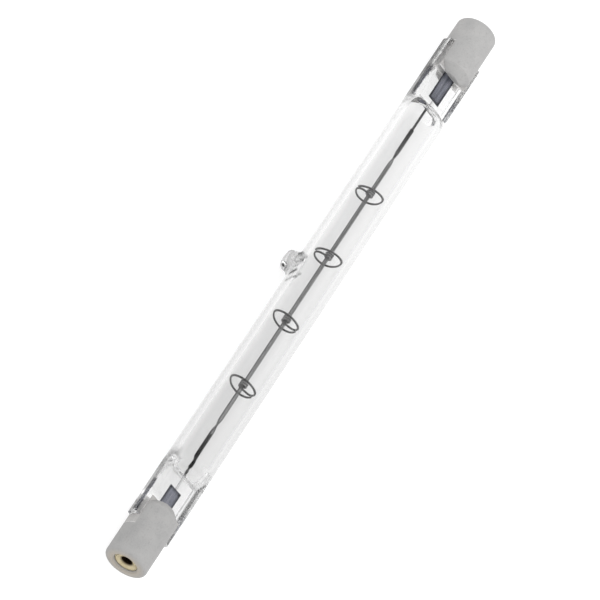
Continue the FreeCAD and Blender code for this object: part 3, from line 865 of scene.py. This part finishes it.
def steatite():
    """Unglazed pressed ceramic, grainy and matt, stained round the contact, with painted shade on the left
    cap and painted light on its faces in the slot.
    """
    finish = Finish("steatite")
    grain = finish.noise(finish.place(), scale=5200, detail=5, roughness=0.65)
    cloud = finish.noise(finish.place(), scale=420, detail=4)
    pits = finish.range(finish.noise(finish.place(), scale=2600, detail=2), 0.3, 0.42)
    along, across, up = finish.axes()
    depth = abs(along)
    radius = from_axis(across, up)
    body = finish.mix(finish.swing(cloud), grey(0.31, 0.005), grey(0.36, 0.012))
    speckled = finish.mix(finish.range(grain, 0.4, 0.75) * SPECKLE_SHARE, body, grey(0.45, 0.01))
    pitted = finish.mix((1 - pits) * PIT_SHARE, speckled, grey(0.24, 0.02))
    stain = finish.span(depth, END_FACE - 0.4, END_FACE - 0.05) * finish.span(radius, 3.5, 2.4)
    stained = finish.mix(stain * STAIN_SHARE, pitted, (0.42, 0.36, 0.28, 1))
    # Painted shade: the left cap is mixed a little towards black
    with_left_painted_shade = finish.mix(finish.span(along, 0, -50) * LEFT_PAINTED_SHADE_SHARE, stained, grey(0.05))
    # Painted light: the faces inside the slot are painted pale so that they show lighter through the glass
    # in the slot's shade
    slot_face = finish.span(abs(up), SLOT_HALF_HEIGHT + 0.015, SLOT_HALF_HEIGHT + 0.005)
    slot_painted_light = slot_face * finish.span(depth, SLOT_END + 0.1, SLOT_END)
    return finish.wear({
        "Base Color": finish.mix(slot_painted_light, with_left_painted_shade, grey(0.8, 0.01)),
        "Roughness": finish.swing(grain, 0.72, 0.9),
        "Specular IOR Level": 0.35,
        "Normal": finish.bump(grain * 0.6 + pits * 0.4, strength=0.35, distance=0.05),
    })


# How fast the turning marks follow each other outwards, in radians a metre
TURNING_MARKS = 90000


def contact_brass():
    """Dull brass with turning marks, and painted shade that darkens its hole nearly to black."""
    finish = Finish("contact_brass")
    radius = from_axis(*finish.axes()[1:])
    marks = finish.node("ShaderNodeMath", {"operation": "SINE"}, {0: radius * TURNING_MARKS})
    tarnish = finish.noise(finish.place(), scale=1400, detail=4)
    bright = finish.mix(finish.swing(tarnish), (0.4, 0.335, 0.2, 1), (0.54, 0.47, 0.31, 1))
    # Painted shade: within the hole's radius the brass is painted near black
    past_hole = finish.span(radius, CONTACT_HOLE_RADIUS, CONTACT_HOLE_RADIUS + 0.35)
    return finish.wear({
        "Base Color": finish.mix(past_hole, (0.03, 0.018, 0.008, 1), bright),
        "Metallic": 0.65,
        "Roughness": finish.swing(tarnish, 0.3, 0.5),
        "Normal": finish.bump(marks, strength=0.1, distance=0.01),
    })


# How far the roughness of a wire swings
WIRE_SWING = 0.08


def drawn_wire(name, dark, light, roughness, turned, measure, start, stop):
    """Drawn wire with faint mottling, which turns to another colour along the lamp or out from its axis."""
    finish = Finish(name)
    mottle = finish.noise(finish.place(), scale=2400, detail=3)
    along, across, up = finish.axes()
    distance = abs(along) if measure == "along" else from_axis(across, up)
    mottled = finish.mix(finish.swing(mottle), dark, light)
    return finish.wear({
        "Base Color": finish.mix(finish.span(distance, start, stop), mottled, turned),
        "Metallic": 0.85,
        "Roughness": finish.swing(mottle, roughness - WIRE_SWING, roughness + WIRE_SWING),
        "Normal": finish.bump(mottle, strength=0.1, distance=0.01),
    })


# How dark the foil's edges and its start are, how much darker the foils are, most at the right foil's inner
# end, and where painted light against the tongue's shadow lightens that again towards its outer end
FOIL_EDGE_SHADE = 0.85
FOIL_START_SHARE = 0.8
DARKEST_PLACE = 43
PAINTED_LIGHT_END = 47
DARKEST_SHADE = 0.4


def rolled_foil():
    """Rolled molybdenum foil: bluish, with rolling lines and darker feathered edges."""
    finish = Finish("foil")
    rolling = finish.noise(finish.stretched(0.05), scale=3200, detail=3)
    mottle = finish.noise(finish.place(), scale=700, detail=4)
    along, across = finish.axes()[:2]
    past_start = abs(along) - finish.span(along, -1, 1, FOIL_START[-1] * MM, FOIL_START[1] * MM)
    edge = finish.span(abs(across), 0.75, 1.15) + finish.span(past_start, 0.7, 0.1) * FOIL_START_SHARE
    # Darker towards the right foil's inner end, then painted light against the tongue's shadow lightens it
    # again towards the outer end
    darker_to_right = finish.span(along, 0, DARKEST_PLACE, 0.05, DARKEST_SHADE)
    darkening = darker_to_right - finish.span(along, DARKEST_PLACE, PAINTED_LIGHT_END, 0, DARKEST_SHADE)
    body = finish.mix(finish.range(rolling, 0.35, 0.65), (0.165, 0.172, 0.21, 1), (0.37, 0.38, 0.445, 1))
    return finish.wear({
        "Base Color": finish.mix(edge * FOIL_EDGE_SHADE + darkening, body, (0.03, 0.031, 0.04, 1)),
        "Specular IOR Level": 0.1,
        "Metallic": 0.35,
        "Roughness": finish.swing(rolling, 0.32, 0.5),
        "Normal": finish.bump(rolling * 0.5 + mottle * 0.5, strength=0.3, distance=0.02),
    })


def cap_cement():
    """Gritty cement in the slot round the pinch, grey where it lies open, with painted light on the faces
    that it buries in the slot.
    """
    finish = Finish("cement")
    grit = finish.noise(finish.place(), scale=3000, detail=6, roughness=0.7)
    lumps = finish.noise(finish.place(), scale=900, detail=3)
    across, up = finish.axes()[1:]
    under_skin = finish.span(abs(up), SLOT_HALF_HEIGHT, SLOT_HALF_HEIGHT - 0.08)
    buried = finish.span(from_axis(across, up), CAP_RADIUS, CAP_RADIUS - 0.1) * under_skin
    # Painted light: the buried faces inside the slot are painted near white so that they show lighter
    # through the glass
    slot_painted_light = finish.mix(finish.swing(grit), grey(0.82, 0.01), grey(0.92, 0.01))
    open_grey = finish.mix(finish.swing(grit), grey(0.31, 0.02), grey(0.4, 0.02))
    return finish.wear({
        "Base Color": finish.mix(buried, open_grey, slot_painted_light),
        "Roughness": finish.swing(grit, 0.8, 0.98),
        "Normal": finish.bump(grit * 0.4 + lumps * 0.6, strength=0.6, distance=0.1),
    })


def pale_floor():
    """A faintly uneven pale floor, with a glow of its own that lifts the shadows."""
    finish = Finish("pale_floor")
    cloud = finish.noise(finish.place(), scale=3, detail=2)
    return finish.wear({
        "Base Color": finish.mix(cloud, grey(0.3), grey(0.32)),
        "Roughness": 0.9, "Specular IOR Level": 0.1,
        "Emission Color": (1, 1, 1, 1), "Emission Strength": 0.8,
    })


# Pieces on the frame

def dress(node, material):
    """Give a solid of the frame its finish."""
    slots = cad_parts[node].data.materials
    slots.clear()
    slots.append(material)


def stand_in(piece, node, material=None):
    """Let a new piece stand for a solid, with this finish or the ones that it has."""
    if material:
        piece.data.materials.clear()
        piece.data.materials.append(material)
    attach(piece, "root")
    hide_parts(node)


def dressed_lamp():
    """Put the new pieces in their solids' places, and a finish on each solid that shows."""
    ceramic = steatite()
    brass = contact_brass()
    cement = cap_cement()
    foil = rolled_foil()
    # Painted light: the leads are painted pale from 40 to 41 mm out, so that they fade into the glass of
    # the shoulders
    leads = drawn_wire(
        "lead_wire", dark=grey(0.05), light=grey(0.12), roughness=0.4, turned=grey(0.8),
        measure="along", start=40.0, stop=41.0)
    # Painted light: the supports are painted lighter within 0.7 to 0.9 mm of the axis, where they wrap the
    # coil
    supports = drawn_wire(
        "support_wire", dark=grey(0.08), light=grey(0.18), roughness=0.4, turned=grey(0.28),
        measure="out", start=0.9, stop=0.7)
    tungsten = drawn_wire(
        "tungsten", dark=grey(0.2), light=grey(0.32), roughness=0.45, turned=grey(0.015),
        measure="along", start=29.0, stop=36.5)
    for side_name, side in SIDES:
        stand_in(steatite_cap(side_name, side), f"ceramic_cap_{side_name}", ceramic)
        stand_in(brass_contact(side_name, side), f"contact_{side_name}", brass)
        dress(f"cap_cement_{side_name}", cement)
        dress(f"molybdenum_foil_{side_name}", foil)
        dress(f"inner_lead_{side_name}", leads)
        dress(f"outer_lead_{side_name}", leads)
    for number in range(1, SUPPORTS + 1):
        dress(f"filament_support_{number}", supports)
    stand_in(wound_filament(), "filament_coil", tungsten)
    stand_in(quartz_glass(), "quartz_envelope")


# Stage, light and camera

# The lamp's axis leans this far out of the picture, and its section is turned this far from upright
AXIS_LEAN = 30.5
SECTION_TURN = 30.4
# Direction of the lamp's axis in the picture, and where its middle lies in the 600 by 600 frame
AXIS_IN_PICTURE = (0.5524, 0.8336)
MIDDLE_IN_PICTURE = (308.2, 287.1)
PICTURE_SIZE = 600
PIXELS_PER_MM = 6.30
CAMERA_DISTANCE = 725.0


def picture_axes():
    """The picture's right, its up, and the direction back to the camera, as vectors of the frame."""
    lean = math.radians(AXIS_LEAN)
    turn = math.radians(SECTION_TURN)
    towards = Vector((0, math.sin(turn), math.cos(turn)))
    sideways = Vector((0, -math.cos(turn), math.sin(turn)))
    back = towards * math.cos(lean) - Vector((math.sin(lean), 0, 0))
    along = (Vector((1, 0, 0)) + back * math.sin(lean)) / math.cos(lean)
    right = along * AXIS_IN_PICTURE[0] + sideways * AXIS_IN_PICTURE[1]
    up = along * AXIS_IN_PICTURE[1] - sideways * AXIS_IN_PICTURE[0]
    return right, up, back


def photo_camera():
    right, up, back = picture_axes()
    data = bpy.data.cameras.new("photo_camera")
    data.sensor_width = 36
    data.lens = PIXELS_PER_MM * CAMERA_DISTANCE / PICTURE_SIZE * data.sensor_width
    data.clip_start = 0.01
    data.clip_end = 50
    camera = bpy.data.objects.new("photo_camera", data)
    bpy.context.scene.collection.objects.link(camera)
    offset = (right * (MIDDLE_IN_PICTURE[0] - PICTURE_SIZE / 2)
              + up * (PICTURE_SIZE / 2 - MIDDLE_IN_PICTURE[1])) / PIXELS_PER_MM
    place = (back * CAMERA_DISTANCE - offset) * MM
    turned = Matrix((right, up, back)).transposed().to_4x4()
    camera.matrix_world = Matrix.Translation(place) @ turned
    bpy.context.scene.camera = camera


def soft_light(name, place, size, power):
    """A large soft panel that faces the lamp."""
    data = bpy.data.lights.new(name, "AREA")
    data.shape = "SQUARE"
    data.size = size
    data.energy = power
    light = bpy.data.objects.new(name, data)
    bpy.context.scene.collection.objects.link(light)
    light.location = place
    light.rotation_euler = (-Vector(place)).to_track_quat("-Z", "Y").to_euler()


def studio():
    """A pale floor, an even white surrounding and one soft panel from above."""
    put_down()
    bpy.ops.mesh.primitive_plane_add(size=12, location=(0, 0, FLOOR_HEIGHT * MM))
    floor = name_it("floor")
    settle(floor)
    floor.data.materials.append(pale_floor())
    world = bpy.data.worlds.new("studio")
    bpy.context.scene.world = world
    world.use_nodes = True
    sky = world.node_tree.nodes["Background"]
    sky.inputs["Color"].default_value = (1, 1, 1, 1)
    sky.inputs["Strength"].default_value = 1.2
    soft_light("top_panel", place=(0.1, -0.3, 1.2), size=1.2, power=5.0)
    # Light passes many faces of glass on its way out of the pinches
    paths = bpy.context.scene.cycles
    paths.max_bounces = 120
    paths.transmission_bounces = 120
    paths.glossy_bounces = 100
    paths.diffuse_bounces = 12
    bpy.context.scene.view_settings.view_transform = "Standard"


dressed_lamp()
studio()
photo_camera()
put_down()
